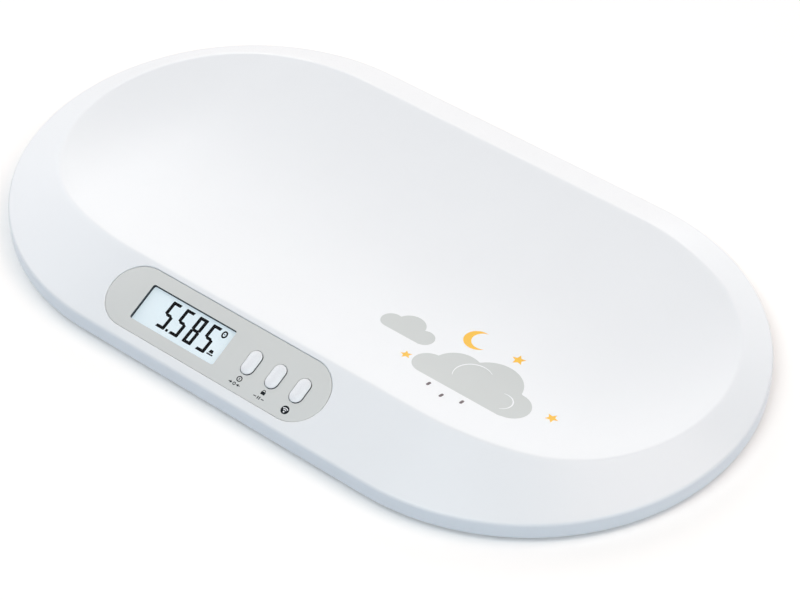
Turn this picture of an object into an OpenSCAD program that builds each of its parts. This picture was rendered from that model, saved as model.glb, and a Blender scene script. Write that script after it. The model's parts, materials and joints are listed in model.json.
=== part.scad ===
// Digital baby weighing scale: a shallow cradle tray on four weighing feet,
// with a display and three keys on its near flank.
// X runs along the tray, Y across it (the keys are on the -Y side), Z is up.
// The origin lies on the floor, under the middle of the tray's outline.

/* [Tray] */
// Length of the tray over its round ends
tray_len = 560; // [500:10:640]
// Width of the tray over its straight sides
tray_w = 324; // [300:4:360]
// Height of the outer edge, where wall and flank would meet in a sharp corner
rim_z = 16; // [15:0.5:24]
// Height of the skirt's lower edge above the floor
skirt_z = 5; // [4:0.5:6]
// Slope of the flank that surrounds the lying surface, in degrees
flank_slope = 23; // [20:1:26]
// Wall thickness of the tray
tray_wall = 2.6; // [2:0.2:3.2]
// Rounding of the outer edge
edge_r = 3; // [2:0.5:4]

/* [Lying surface] */
// Radius of the trough, across the tray
trough_r = 490; // [440:10:560]
// Height of the trough's lowest line
trough_z = 18.2; // [18:0.2:24]
// Shift of the lowest line away from the keys
trough_y = 28; // [20:1:36]
// Radius in which the trough turns up towards its ends
trough_end_r = 300; // [240:10:340]
// Distance of that turn from the tray's end
trough_end_inset = 92; // [84:2:100]

/* [Base] */
// Thickness of the base plate
base_t = 2.4; // [2:0.2:2.8]
// Recess of the base plate above the skirt's lower edge
base_recess = 0.4; // [0.2:0.1:0.8]
// Height of the base plate's upright edge
base_edge_h = 6; // [4:0.5:7]
// Gap between the base plate and the skirt
base_gap = 0.35; // [0.3:0.05:0.5]
// Thickness of the ribs
rib_t = 1.6; // [1.2:0.2:2.4]
// Height of the ribs on the base plate
rib_h = 3.4; // [2:0.2:4]

/* [Feet] */
// Distance of a foot from the end of the tray
foot_inset_x = 95; // [90:1:110]
// Distance of a foot from the side of the tray
foot_inset_y = 74; // [70:1:80]
// Diameter of a foot
foot_d = 38; // [32:1:40]
// Diameter of the rubber pad under a foot
pad_d = 32; // [24:1:34]
// Thickness of the rubber pad
pad_t = 2; // [1.6:0.2:2.4]
// Thickness of the foot's disc
foot_t = 3.4; // [3:0.2:3.4]
// Diameter of the post that presses on the load cell
post_d = 10; // [8:0.5:12]

/* [Load cells] */
// Side of a load cell
cell_side = 34; // [30:1:36]
// Thickness of a load cell
cell_t = 1.2; // [1:0.1:1.6]
// Height of a load cell above the base plate
cell_lift = 1.1; // [1:0.1:1.4]
// Thickness of the carrier's wall round the cell
carrier_wall = 3; // [2.4:0.2:4]
// Thickness of the carrier above the cell
carrier_top = 2.6; // [2:0.2:3]

/* [Control panel] */
// Length of the panel
panel_len = 180; // [176:1:190]
// Width of the panel, up the slope
panel_w = 45; // [44:0.5:47]
// Thickness of the panel
panel_t = 1.5; // [1.2:0.1:1.8]
// Depth of the panel's face below the flank
panel_recess = 0.4; // [0.3:0.1:0.8]
// Place of the panel's middle along the tray
panel_x = -25; // [-35:1:-15]
// Distance of the panel's middle from the outer edge, up the slope
panel_up = 30; // [29:0.5:31]
// Gap round the panel
panel_gap = 0.25; // [0.2:0.05:0.4]
// Thickness of the ledge that carries the panel
ledge_t = 2; // [1.6:0.1:2.4]

/* [Display] */
// Length of the display opening
window_len = 71.5; // [66:0.5:74]
// Height of the display opening, up the slope
window_h = 27.2; // [24:0.4:28]
// Place of the opening's middle, from the panel's middle
window_x = -27.8; // [-29:0.2:-26]
// Shift of the opening up the slope
window_up = -0.6; // [-0.8:0.1:0.4]
// Overlap of the clear lens behind the opening
lens_lap = 3; // [2:0.2:3.4]
// Thickness of the clear lens
lens_t = 1; // [0.8:0.1:1.2]
// Thickness of the liquid crystal cell
glass_t = 2.1; // [1.8:0.1:2.4]
// Thickness of the backlight
light_t = 3; // [2.4:0.1:3.2]
// Wall thickness of the frame that holds the display
display_wall = 1.5; // [1.2:0.1:1.6]

/* [Keys] */
// Length of a key, up the slope
key_len = 17.6; // [16:0.2:19]
// Width of a key
key_w = 9.4; // [9:0.2:11]
// Height of a key's edge above the panel
key_rise = 0.9; // [0.8:0.1:1.4]
// Height of a key's crown above its edge
key_crown = 0.7; // [0.4:0.1:1]
// Travel of a key
key_travel = 0.8; // [0.5:0.1:1]
// Place of the middle key, from the panel's middle
key_x = 50.1; // [49:0.1:52]
// Distance from key to key
key_pitch = 20; // [19:0.5:21]
// Gap round a key
key_gap = 0.35; // [0.3:0.05:0.5]

/* [Circuit board] */
// Depth of the board's upper face below the flank
board_depth = 10; // [9.6:0.1:10.6]
// Thickness of the board
board_t = 1.6; // [1.2:0.1:2]
// Width of the board, up the slope
board_w = 34; // [32:0.5:36]
// Reach of the board beyond the display's frame
board_past_display = 14; // [13:0.5:15]
// Reach of the board beyond the middle of the last key
board_past_key = 15; // [14:0.5:16]

/* [Batteries] */
// Length of a cell, which is a common small round size
battery_len = 44.5; // [42:0.5:46]
// Diameter of a cell
battery_d = 10.5; // [10:0.1:10.6]
// Distance from cell to cell
battery_pitch = 11.6; // [11.4:0.1:12]
// Room for the springs and contacts at the cells' ends
battery_room = 7; // [6:0.5:8]
// Distance of the bay's middle from the end of the tray
bay_end_inset = 170; // [168:1:174]
// Distance of the bay's middle from the keys' side of the tray
bay_inset = 80; // [78:1:82]
// Wall thickness of the bay
bay_wall = 1.6; // [1.4:0.1:2]
// Thickness of the battery cover
cover_t = 1.8; // [1.6:0.1:2]
// Width of the rim on which the cover seats
cover_lap = 2.4; // [2:0.1:3]
// Opening angle at which the cover lifts off its hooks, in degrees
cover_open = 35; // [20:1:40]

/* [Hidden] */
$fn = 96;
ROUND_FINE = 240;
ROUND_SMALL = 24;
EPS = 0.01;
SEAT = 0.05;
RUN = 0.3;
TALL = 100;

// Tray outline: a straight middle with a half circle at each end
half_w = tray_w / 2;
end_x = tray_len / 2 - half_w;
turn_x = tray_len / 2 - trough_end_inset;

// Base plate levels
base_z = skirt_z + base_recess;
floor_z = base_z + base_t;
base_edge_t = 1.8;

// Ribs on the base plate: long ones at each y, cross ribs at each x
rib_top = floor_z + rib_h;
base_rib_y = [0, 62];
base_rib_reach = end_x + 27;
base_rib_x = [-115, 0, 115];
base_rib_near = -44;
base_rib_far = 116;

// Ribs under the lying surface, just clear of those on the base plate
tray_rib_low = rib_top + 1.4;
tray_rib_y = [-30, trough_y, 92];
tray_rib_reach = end_x + 22;
tray_rib_x = [-100, -31, 31, 100];
tray_rib_near = -50;
tray_rib_far = 115;

// Casing screws: [x, y] of each
screw_end_inset = 48;
screw_end_y = 45;
screw_far_inset = 24;
screw_far_x = 70;
screw_near_inset = 34;
screw_near_x = 135;
screw_mid_x = 62;
screw_x = tray_len / 2 - screw_end_inset;
screw_places = [
    for (sx = [-1, 1]) for (sy = [-1, 1]) [sx * screw_x, sy * screw_end_y],
    for (sx = [-1, 1]) [sx * screw_far_x, half_w - screw_far_inset],
    for (sx = [-1, 1]) [sx * screw_near_x, screw_near_inset - half_w],
    for (sx = [-1, 1]) [sx * screw_mid_x, trough_y]
];
screw_d = 2.9;
screw_head_d = 6.2;
screw_head_h = 2;
screw_len = 9;
screw_bite = 0.1;
screw_play = 0.5;
drive_len = 3.4;
drive_w = 0.8;
drive_depth = 0.9;
head_play = 0.8;
head_seat = 2.5;
cup_d = 10.4;
cup_top = base_z + head_seat + 1.9;
post_boss_d = 8;

// Feet and load cells
foot_x = tray_len / 2 - foot_inset_x;
foot_y = half_w - foot_inset_y;
foot_places = [[-foot_x, -foot_y], [foot_x, -foot_y], [-foot_x, foot_y], [foot_x, foot_y]];
foot_round = 1.2;
pad_pocket = 0.8;
pad_play = 0.2;
pad_groove_w = 1;
pad_groove_inset = 4;
pad_groove_depth = 0.4;
post_play = 2;
foot_z = pad_t - pad_pocket;
cell_z = floor_z + cell_lift;
cell_round = 2;
cell_rim = 5;
cell_slot = 1.6;
cell_neck = 9;
cell_shelf_w = 3;
tongue_w = 11.8;
tongue_len = 12;
tongue_shift = 3;
tongue_gap = 1;
carrier_side = cell_side + 2 * (carrier_wall + RUN);
carrier_z = cell_z + cell_t + carrier_top;
carrier_round = 3;
carrier_lap = 4;

// Panel frame: its origin is on the flank, in the middle of the panel
panel_y = panel_up * cos(flank_slope) - half_w;
panel_z = rim_z + panel_up * sin(flank_slope);
panel_face = -panel_recess;
panel_back = panel_face - panel_t;
ledge_back = panel_back - ledge_t;
board_top = -board_depth;
board_back = board_top - board_t;
pocket_grow = 2.4;
port_gap = 0.4;

// Display stack, downwards from the back of the panel
window_round = 1.6;
lens_z = panel_back - SEAT - lens_t;
glass_z = lens_z - SEAT - glass_t;
light_z = glass_z - SEAT - light_t;
lens_round = 1;
lens_len = window_len + 2 * lens_lap;
lens_h = window_h + 2 * lens_lap;
glass_play = 1;
frame_len = lens_len + 2 * (display_wall + SEAT);
frame_h = lens_h + 2 * (display_wall + SEAT);
frame_floor = 0.6;

// Conductive rubber strips between the glass and the board
strip_w = 2.2;
strip_len = window_len - 4;
strip_y = window_h / 2 + 2 * SEAT + strip_w / 2;
strip_play = 0.4;

// Keys
key_places = [for (i = [-1:1]) key_x + i * key_pitch];
key_top = panel_face + key_rise;
flange_lap = 1.3;
flange_t = 0.8;
flange_z = panel_back - SEAT - flange_t;
switch_side = 6;
switch_h = 3.4;
stem_d = 4;
plunger_d = 3.2;
plunger_len = 2;
plunger_top = board_top + switch_h + key_travel + 0.2;
plunger_bore = plunger_len + key_travel + 0.1;

// Board screws: [x, up the slope] in the panel's frame
board_left = frame_len / 2 - window_x + board_past_display;
board_right = key_places[2] + board_past_key;
board_screw_inset_left = 5.5;
board_screw_inset_right = 4;
board_screw_mid = (window_x + frame_len / 2 + key_places[0] - key_w / 2 - flange_lap) / 2;
board_screw_up_left = 11;
board_screw_up_mid = 13;
board_screw_up_right = 10;
board_screw_d = 2.2;
board_screw_head_d = 4.2;
board_screw_head_h = 1.4;
board_screw_bite = 4;
board_boss_d = 5;
board_boss_bore = 6;
board_screws = [
    for (side = [-1, 1]) [board_screw_inset_left - board_left, side * board_screw_up_left],
    for (side = [-1, 1]) [board_screw_mid, side * board_screw_up_mid],
    for (side = [-1, 1]) [board_right - board_screw_inset_right, side * board_screw_up_right]
];

// Chips on the board's lower face: [x, up the slope, length, width] of each
chip_places = [[-30, 0, 12, 12], [-8, -2, 5, 6], [-66, 2, 8, 5], [30, -9, 5, 4]];
chip_h = 1.5;
radio_x = 34;
radio_up = 5;
radio_size = [20, 13, 0.8];
shield_x = -2;
shield_size = [13, 11, 1.6];

// Sockets on the board's lower face that take the leads
socket_h = 3;
socket_w = 4.4;
socket_up = 4;
sensor_socket_len = 10;
sensor_socket_x = [-50, 60];
battery_socket_len = 6;
battery_socket_x = 48;
battery_socket_down = 8;
socket_drop = -board_back + socket_h;
socket_y = panel_y + socket_drop * sin(flank_slope) + socket_up * cos(flank_slope);
socket_z = panel_z - socket_drop * cos(flank_slope) + socket_up * sin(flank_slope);
plug_gap = 0.9;

// Battery bay
bay_x = tray_len / 2 - bay_end_inset;
bay_y = bay_inset - half_w;
bay_len = battery_len + battery_room;
bay_w = 3 * battery_pitch + 1;
bay_low = base_z + cover_t + 0.1;
bay_high = bay_low + battery_d + 0.4;
battery_z = bay_low + 0.2 + battery_d / 2;
battery_nub_d = 3.8;
battery_nub_h = 1;
contact_t = 0.4;
contact_h = 8;
battery_start = bay_len / 2 - contact_t - 2 * SEAT - battery_len;

// Springs: they narrow towards the cell
spring_wire = 0.6;
spring_wide = 3.8;
spring_narrow = 2;
spring_turns = 3;
spring_sides = 6;
spring_rings = 14;
spring_start = -bay_len / 2 + contact_t + SEAT + spring_wire / 2;
spring_len = battery_start - 2 * SEAT - spring_wire / 2 - spring_start;

// Battery cover: its hooks turn on a line at the plate's edge
cover_len = bay_len + 2 * cover_lap;
cover_w = bay_w + 2 * cover_lap;
lip_t = 1;
hook_len = 2.4;
hook_t = 1.2;
hook_w = 8;
hook_root = 2;
hook_low = lip_t + RUN;
hook_axis = 1.2;
hook_rise = hook_len * sin(cover_open) + (hook_low + hook_t - hook_axis) * cos(cover_open);
hook_top = base_z + hook_axis + hook_rise + 2 * RUN;
hook_end = -cover_len / 2 - hook_len - 1;
tongue_slot_w = 0.8;
tongue_slot_len = 7;
tongue_half_w = 7;
grip_count = 4;
grip_pitch = 1.3;
grip_inset = 5.6;
grip_size = [0.6, 11, 0.8];

// Leads inside: flat three-core strips along the base plate
lead_w = 3.2;
lead_t = 1.1;
lead_z = floor_z + 0.15;
lead_exit = 8;
lead_notch_h = 2;
lead_lane = 4.5;
lead_y = panel_y + 27.4;
lead_x = foot_x - 29;
lead_side = 2.3;
wire_d = 1.2;
wire_turn = 14;

// ---- Shared shapes ----

// A flat shape with straight sides and round ends, long side along X
module stadium(len, w) {
    square([len - w, w], center = true);
    for (side = [-1, 1])
        translate([side * (len - w) / 2, 0])
            circle(d = w);
}

// A rectangle with rounded corners
module round_rect(len, w, r) {
    square([len - 2 * r, w], center = true);
    square([len, w - 2 * r], center = true);
    for (sx = [-1, 1]) for (sy = [-1, 1])
        translate([sx * (len / 2 - r), sy * (w / 2 - r)])
            circle(r = r);
}

// Puts its children in the panel's frame: x along the tray, y up the slope
module on_panel() {
    translate([panel_x, panel_y, panel_z])
        rotate([flank_slope, 0, 0])
            children();
}

// Puts its children in the middle of the display opening
module on_window() {
    on_panel()
        translate([window_x, window_up])
            children();
}

// A slab between two heights
module slab(low, high) {
    translate([0, 0, low])
        linear_extrude(high - low)
            children();
}

// A strip that follows a line of points, round at every bend
module strip(points, w) {
    for (i = [0:len(points) - 2]) {
        a = points[i];
        b = points[i + 1];
        translate(a)
            rotate(atan2(b.y - a.y, b.x - a.x))
                translate([0, -w / 2])
                    square([norm(b - a), w]);
    }
    for (p = points)
        translate(p)
            circle(d = w, $fn = ROUND_SMALL);
}

// ---- Tray ----

// Half of the tray's section, its outer wall moved inwards by inset
module tray_half_section(inset, low) {
    wall_x = half_w - inset;
    corner_z = rim_z + inset * (tan(flank_slope) - 1 / cos(flank_slope));
    r = max(edge_r - inset, 0.4);
    cut = r * tan((90 - flank_slope) / 2);
    polygon([
        [0, low],
        [wall_x, low],
        [wall_x, corner_z - cut],
        [wall_x - cut * cos(flank_slope), corner_z + cut * sin(flank_slope)],
        [wall_x - TALL, corner_z + TALL * tan(flank_slope)],
        [0, corner_z + TALL * tan(flank_slope)]
    ]);
    translate([wall_x - r, corner_z - cut])
        circle(r = r);
}

// The tray's outer form before the trough is taken out
module tray_form(inset, low) {
    rotate([90, 0, 90])
        translate([0, 0, -end_x])
            linear_extrude(2 * end_x) {
                tray_half_section(inset, low);
                mirror([1, 0])
                    tray_half_section(inset, low);
            }
    for (side = [0, 1])
        mirror([side, 0, 0])
            translate([end_x, 0, 0])
                rotate([0, 0, -90])
                    rotate_extrude(angle = 180, $fn = ROUND_FINE)
                        tray_half_section(inset, low);
}

// The space above the lying surface: a drum whose ends turn in
module trough(grow) {
    end_r = trough_end_r + grow;
    translate([0, trough_y, trough_z + trough_r])
        rotate([0, 90, 0])
            rotate_extrude($fn = ROUND_FINE) {
                translate([0, -turn_x])
                    square([trough_r + grow, 2 * turn_x]);
                for (side = [-1, 1])
                    translate([trough_r - trough_end_r, side * turn_x])
                        intersection() {
                            circle(r = end_r, $fn = ROUND_FINE);
                            translate([0, -end_r])
                                square([end_r, 2 * end_r]);
                        }
            }
}

// Bosses that take the casing screws
module tray_bosses() {
    for (p = screw_places)
        translate([p.x, p.y, cup_top])
            cylinder(d = post_boss_d, h = TALL);
}

// Ribs that stiffen the lying surface from below
module tray_ribs() {
    for (y = tray_rib_y)
        translate([-tray_rib_reach, y - rib_t / 2, tray_rib_low])
            cube([2 * tray_rib_reach, rib_t, TALL]);
    for (x = tray_rib_x)
        translate([x - rib_t / 2, tray_rib_near, tray_rib_low])
            cube([rib_t, tray_rib_far - tray_rib_near, TALL]);
}

// The thick ledge behind the panel, with the bosses for the board
module panel_seat() {
    on_panel() {
        slab(ledge_back, TALL)
            stadium(panel_len + 2 * pocket_grow, panel_w + 2 * pocket_grow);
        for (p = board_screws)
            translate([p.x, p.y, board_top])
                cylinder(d = board_boss_d, h = -board_top);
    }
}

// Outline of a key, up the slope, moved outwards by grow
module key_outline(grow) {
    rotate(90)
        stadium(key_len + 2 * grow, key_w + 2 * grow);
}

// Pocket for the panel and the ports behind it
module panel_cuts() {
    on_panel() {
        slab(panel_back, TALL)
            stadium(panel_len + 2 * panel_gap, panel_w + 2 * panel_gap);
        slab(ledge_back - EPS, panel_back + EPS) {
            translate([window_x, window_up])
                round_rect(frame_len + 2 * port_gap, frame_h + 2 * port_gap, lens_round);
            for (x = key_places)
                translate([x, 0])
                    key_outline(flange_lap + port_gap);
        }
        for (p = board_screws)
            translate([p.x, p.y, board_top - EPS])
                cylinder(d = board_screw_d - 2 * screw_bite, h = board_boss_bore);
    }
}

module top_tray() {
    color("white")
        difference() {
            tray_form(0, skirt_z);
            trough(0);
            difference() {
                tray_form(tray_wall, skirt_z - 1);
                trough(tray_wall);
                tray_bosses();
                tray_ribs();
                panel_seat();
            }
            panel_cuts();
            for (p = screw_places)
                translate([p.x, p.y, cup_top - EPS])
                    cylinder(d = screw_d + screw_bite, h = screw_len - 1);
        }
}

// ---- Base ----

// Outline of the base plate, moved inwards by inset
module base_outline(inset) {
    grown = 2 * (tray_wall + base_gap + inset);
    stadium(tray_len - grown, tray_w - grown);
}

// The wall of the battery bay, open below
module bay_walls() {
    translate([bay_x, bay_y])
        slab(base_z, bay_high + bay_wall)
            square([cover_len + 2 * (RUN + bay_wall), cover_w + 2 * (RUN + bay_wall)], center = true);
}

// The room inside the bay, the seat of its cover and the slots of the hooks
module bay_room() {
    translate([bay_x, bay_y]) {
        slab(base_z - 1, bay_high)
            square([bay_len, bay_w], center = true);
        slab(base_z - 1, bay_low)
            square([cover_len + 2 * RUN, cover_w + 2 * RUN], center = true);
        for (side = [-1, 1])
            translate([hook_end, side * cover_w / 4 - hook_w / 2 - RUN])
                slab(base_z + lip_t, hook_top)
                    square([-bay_len / 2 + EPS - hook_end, hook_w + 2 * RUN]);
    }
}

// The step behind the hooks, closed towards the inside
module hook_boxes() {
    translate([bay_x, bay_y])
        for (side = [-1, 1])
            translate([hook_end - bay_wall, side * cover_w / 4 - hook_w / 2 - RUN - bay_wall])
                slab(base_z, hook_top + bay_wall)
                    square([-bay_len / 2 - hook_end, hook_w + 2 * (RUN + bay_wall)]);
}

module base_ribs() {
    for (y = base_rib_y)
        translate([-base_rib_reach, y - rib_t / 2, base_z])
            cube([2 * base_rib_reach, rib_t, rib_top - base_z]);
    for (x = base_rib_x)
        translate([x - rib_t / 2, base_rib_near, base_z])
            cube([rib_t, base_rib_far - base_rib_near, rib_top - base_z]);
}

module base_plate() {
    color("whitesmoke")
        difference() {
            union() {
                slab(base_z, floor_z)
                    base_outline(0);
                slab(floor_z - EPS, floor_z + base_edge_h)
                    difference() {
                        base_outline(0);
                        base_outline(base_edge_t);
                    }
                for (p = screw_places)
                    translate([p.x, p.y, base_z])
                        cylinder(d = cup_d, h = cup_top - base_z);
                base_ribs();
                for (p = foot_places)
                    translate([p.x, p.y, floor_z - EPS])
                        linear_extrude(cell_lift - SEAT + EPS)
                            difference() {
                                square(cell_side, center = true);
                                square(cell_side - 2 * cell_shelf_w, center = true);
                            }
                bay_walls();
                hook_boxes();
            }
            for (p = screw_places) {
                translate([p.x, p.y, base_z - 1])
                    cylinder(d = screw_head_d + head_play, h = head_seat + 1);
                translate([p.x, p.y, base_z])
                    cylinder(d = screw_d + screw_play, h = cup_top - base_z + 1);
            }
            for (p = foot_places)
                translate([p.x, p.y, base_z - 1])
                    cylinder(d = post_d + post_play, h = base_t + 2);
            bay_room();
        }
}

// One casing screw, its head down
module casing_screw() {
    translate([0, 0, base_z + head_seat - screw_head_h])
        difference() {
            cylinder(d = screw_head_d, h = screw_head_h);
            for (turn = [0, 90])
                rotate(turn)
                    cube([drive_len, drive_w, 2 * drive_depth], center = true);
        }
    translate([0, 0, base_z + head_seat - EPS])
        cylinder(d = screw_d, h = screw_len);
}

module casing_screws() {
    color("silver")
        for (p = screw_places)
            translate([p.x, p.y, 0])
                casing_screw();
}

// ---- Control panel and display ----

module control_panel() {
    color("lightgray")
        on_panel()
            slab(panel_back, panel_face)
                difference() {
                    stadium(panel_len, panel_w);
                    translate([window_x, window_up])
                        round_rect(window_len, window_h, window_round);
                    for (x = key_places)
                        translate([x, 0])
                            key_outline(key_gap);
                }
}

module display_lens() {
    color("aliceblue", 0.5)
        on_window()
            slab(lens_z, lens_z + lens_t)
                round_rect(lens_len, lens_h, lens_round);
}

module display_glass() {
    color("lightblue")
        on_window()
            slab(glass_z, glass_z + glass_t)
                square([lens_len - glass_play, lens_h - glass_play], center = true);
}

module display_backlight() {
    color("lightcyan")
        on_window()
            slab(light_z, light_z + light_t)
                square([lens_len - glass_play, window_h], center = true);
}

// A frame round the display that stands on the board
module display_frame() {
    color("white")
        on_window()
            difference() {
                slab(board_top, lens_z + lens_t)
                    round_rect(frame_len, frame_h, lens_round);
                slab(glass_z, lens_z + lens_t + 1)
                    round_rect(lens_len + 2 * SEAT, lens_h + 2 * SEAT, lens_round);
                slab(board_top + frame_floor, glass_z + EPS)
                    square([lens_len - glass_play + 2 * SEAT, window_h + 2 * SEAT], center = true);
                for (side = [-1, 1])
                    translate([0, side * strip_y])
                        slab(board_top - 1, glass_z + 1)
                            square([strip_len + strip_play, strip_w + strip_play], center = true);
            }
}

module contact_strips() {
    color("dimgray")
        on_window()
            for (side = [-1, 1])
                translate([0, side * strip_y])
                    slab(board_top, glass_z)
                        square([strip_len, strip_w], center = true);
}

// ---- Circuit board ----

module circuit_board() {
    color("seagreen")
        on_panel()
            slab(board_back, board_top)
                difference() {
                    translate([-board_left, -board_w / 2])
                        square([board_left + board_right, board_w]);
                    for (p = board_screws)
                        translate(p)
                            circle(d = board_screw_d + port_gap, $fn = ROUND_SMALL);
                }
}

module board_screws() {
    color("silver")
        on_panel()
            for (p = board_screws)
                translate([p.x, p.y, board_back]) {
                    translate([0, 0, -board_screw_head_h])
                        cylinder(d = board_screw_head_d, h = board_screw_head_h);
                    cylinder(d = board_screw_d - 3 * screw_bite, h = board_t + board_screw_bite);
                }
}

module tact_switches() {
    color("dimgray")
        on_panel()
            for (x = key_places)
                translate([x, 0, board_top])
                    difference() {
                        translate([-switch_side / 2, -switch_side / 2, 0])
                            cube([switch_side, switch_side, switch_h]);
                        translate([0, 0, plunger_top - plunger_bore - board_top])
                            cylinder(d = plunger_d + RUN, h = switch_h);
                    }
}

module board_chips() {
    color("black")
        on_panel()
            for (c = chip_places)
                translate([c[0], c[1]])
                    slab(board_back - chip_h, board_back)
                        square([c[2], c[3]], center = true);
}

// The radio: a small board of its own under a metal can
module radio_module() {
    color("silver")
        on_panel()
            translate([radio_x, radio_up, board_back - radio_size.z]) {
                translate([-radio_size.x / 2, -radio_size.y / 2, 0])
                    cube(radio_size);
                translate([shield_x - shield_size.x / 2, -shield_size.y / 2, -shield_size.z])
                    cube([shield_size.x, shield_size.y, shield_size.z + EPS]);
            }
}

// One socket on the board's lower face
module socket(x, up, len) {
    translate([x, up])
        slab(board_back - socket_h, board_back)
            square([len, socket_w], center = true);
}

module board_sockets() {
    color("ivory")
        on_panel() {
            for (x = sensor_socket_x)
                socket(x, socket_up, sensor_socket_len);
            socket(battery_socket_x, socket_up - battery_socket_down, battery_socket_len);
        }
}

// ---- Keys ----

// One key: a domed cap, the flange that keeps it in, and its stem
module key(x) {
    on_panel()
        translate([x, 0]) {
            slab(flange_z, key_top)
                key_outline(0);
            slab(flange_z, flange_z + flange_t)
                key_outline(flange_lap);
            translate([0, 0, key_top - EPS])
                key_dome();
            translate([0, 0, plunger_top])
                cylinder(d = stem_d, h = flange_z - plunger_top + EPS);
        }
}

// The crowned top of a key: a flat arch between two dome caps
module key_dome() {
    r = (key_w * key_w / 4 + key_crown * key_crown) / (2 * key_crown);
    intersection() {
        linear_extrude(key_crown + 1)
            key_outline(0);
        union() {
            translate([0, 0, key_crown - r])
                rotate([90, 0, 0])
                    cylinder(r = r, h = key_len - key_w, center = true);
            for (side = [-1, 1])
                translate([0, side * (key_len - key_w) / 2, key_crown - r])
                    sphere(r = r);
        }
    }
}

module plunger(x) {
    on_panel()
        translate([x, 0, plunger_top - plunger_len])
            cylinder(d = plunger_d, h = plunger_len);
}

module power_key() { color("white") key(key_places[0]); }
module hold_key() { color("white") key(key_places[1]); }
module wireless_key() { color("white") key(key_places[2]); }
module power_plunger() { color("black") plunger(key_places[0]); }
module hold_plunger() { color("black") plunger(key_places[1]); }
module wireless_plunger() { color("black") plunger(key_places[2]); }

// ---- Batteries ----

// Places its children at each cell, turned end for end in turn
module each_battery() {
    for (i = [0:2])
        translate([bay_x, bay_y + (i - 1) * battery_pitch, battery_z])
            rotate([0, 0, i == 1 ? 180 : 0])
                children();
}

module batteries() {
    color("gold")
        each_battery()
            translate([battery_start, 0, 0])
                rotate([0, 90, 0]) {
                    cylinder(d = battery_d, h = battery_len - battery_nub_h);
                    translate([0, 0, battery_len - battery_nub_h - EPS])
                        cylinder(d = battery_nub_d, h = battery_nub_h + EPS);
                }
}

// Points of a spring that narrows towards the cell
function spring_point(t, wide, narrow, length, turns) =
    let (r = wide + (narrow - wide) * t)
    [length * t, r * cos(360 * turns * t), r * sin(360 * turns * t)];

// A wire swept along the spring's points
module spring(wide, narrow, length, turns, wire, sides) {
    rings = turns * spring_rings;
    at = [for (i = [0:rings]) spring_point(i / rings, wide, narrow, length, turns)];
    ring = [for (i = [0:rings])
        let (
            a = 360 * turns * i / rings,
            out = [0, cos(a), sin(a)],
            along = [1, 0, 0]
        )
        [for (k = [0:sides - 1])
            at[i] + wire / 2 * (out * cos(360 * k / sides) + along * sin(360 * k / sides))]];
    polyhedron(
        points = [for (loop = ring) each loop],
        faces = concat(
            [[for (k = [0:sides - 1]) k]],
            [for (i = [0:rings - 1]) for (k = [0:sides - 1])
                let (n = (k + 1) % sides)
                [i * sides + n, i * sides + k, (i + 1) * sides + k, (i + 1) * sides + n]],
            [[for (k = [sides - 1:-1:0]) rings * sides + k]]
        ),
        convexity = 10
    );
}

module battery_springs() {
    color("silver")
        each_battery()
            translate([spring_start, 0, 0])
                spring(spring_wide, spring_narrow, spring_len, spring_turns, spring_wire, spring_sides);
}

// Contact plates at both ends of the bay
module battery_contacts() {
    color("silver")
        for (side = [-1, 1])
            translate([bay_x + side * (bay_len - contact_t) / 2, bay_y, battery_z - contact_h / 2])
                linear_extrude(contact_h) {
                    translate([0, -side * battery_pitch / 2])
                        square([contact_t, battery_pitch + contact_h], center = true);
                    translate([0, side * battery_pitch])
                        square([contact_t, contact_h], center = true);
                }
}

// Cover plate with two hooks, a finger notch and a latch tongue
module battery_cover() {
    color("whitesmoke")
        translate([bay_x, bay_y, base_z])
            difference() {
                union() {
                    rotate([90, 0, 0])
                        linear_extrude(cover_w, center = true)
                            polygon([
                                [-cover_len / 2 + hook_low, 0], [cover_len / 2, 0],
                                [cover_len / 2, cover_t], [-cover_len / 2, cover_t],
                                [-cover_len / 2, hook_low]
                            ]);
                    for (side = [-1, 1])
                        translate([-cover_len / 2 - hook_len, side * cover_w / 4 - hook_w / 2, hook_low])
                            cube([hook_len + hook_root, hook_w, hook_t]);
                }
                for (side = [-1, 1])
                    translate([cover_len / 2 - tongue_slot_len, side * tongue_half_w - tongue_slot_w / 2, -1])
                        cube([tongue_slot_len + 1, tongue_slot_w, cover_t + 2]);
                for (i = [0:grip_count - 1])
                    translate([cover_len / 2 - grip_inset + i * grip_pitch, 0, 0])
                        cube(grip_size, center = true);
            }
}

// ---- Leads ----

// Route of one strip: start at the cell, along a lane, to the socket
function lead_route(sx, sy, goal, lane) =
    let (
        y = lead_y - (sy < 0 ? lane : 0),
        start = [sx * (foot_x - carrier_side / 2 + 1), sy * foot_y - lead_exit],
        outside = [start.x - sx * 4, start.y]
    )
    concat(
        [start, outside],
        sy > 0 ? [[sx * lead_x, start.y - 8], [sx * lead_x, y + 9]] : [[sx * (lead_x + 1), y + 3]],
        [[sx * (lead_x - (sy > 0 ? 9 : 3)), y], [goal, y]],
        [[goal, socket_y]]
    );

module sensor_leads() {
    color("gray")
        for (sx = [-1, 1]) for (sy = [-1, 1]) {
            socket = panel_x + (sx < 0 ? sensor_socket_x[0] : sensor_socket_x[1]);
            goal = socket - sx * sy * lead_side;
            slab(lead_z, lead_z + lead_t)
                strip(lead_route(sx, sy, goal, lead_lane), lead_w);
            slab(lead_z, socket_z - plug_gap)
                translate([goal, socket_y])
                    square([lead_w, lead_t], center = true);
        }
}

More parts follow.
